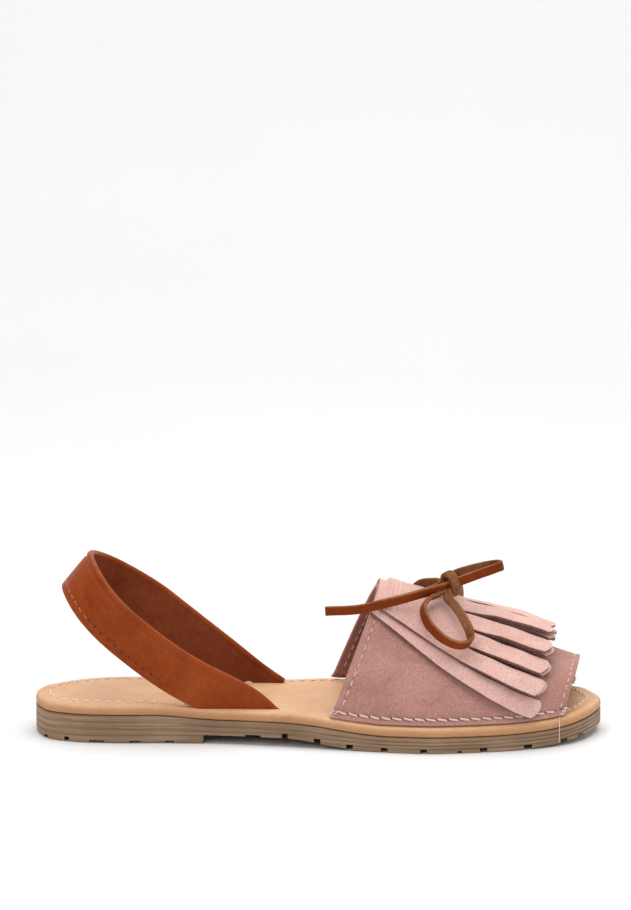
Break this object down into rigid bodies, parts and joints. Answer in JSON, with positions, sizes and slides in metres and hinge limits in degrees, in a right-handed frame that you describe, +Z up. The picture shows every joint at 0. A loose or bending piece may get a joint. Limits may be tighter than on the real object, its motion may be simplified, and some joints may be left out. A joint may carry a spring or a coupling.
{
  "type": "flat sandal",
  "caption": "Flat slingback sandal with a suede vamp, a two-layer suede fringe, a leather-thong bow, a leather heel strap, a leather footbed and a lugged rubber outsole.",
  "frame": {"origin": "middle of the bounding box on the floor that the sole stands on", "axes": "+X from heel to toe along the shoe, +Z up, -Y towards the lateral (outer) side of this right shoe"},
  "size_m": [0.2554, 0.0948, 0.0812],
  "materials": {
    "outsole_rubber": "satin moulded",
    "footbed_leather": "smooth vegetable-tanned",
    "vamp_suede": "suede nap",
    "kiltie_suede": "suede nap",
    "strap_leather": "smooth satin",
    "lace_leather": "satin grain side, rough flesh side"
  },
  "bodies": {
    "root": {"outsole": "outsole_rubber", "footbed": "footbed_leather", "vamp": "vamp_suede", "kiltie_under": "kiltie_suede", "kiltie_top": "kiltie_suede", "heel_strap": "strap_leather", "lace_crossing": "lace_leather", "lace_knot": "lace_leather", "lace_end_back": "lace_leather", "lace_end_far": "lace_leather", "lace_loop_front": "lace_leather", "lace_loop_near": "lace_leather"}
  },
  "joints": []
}
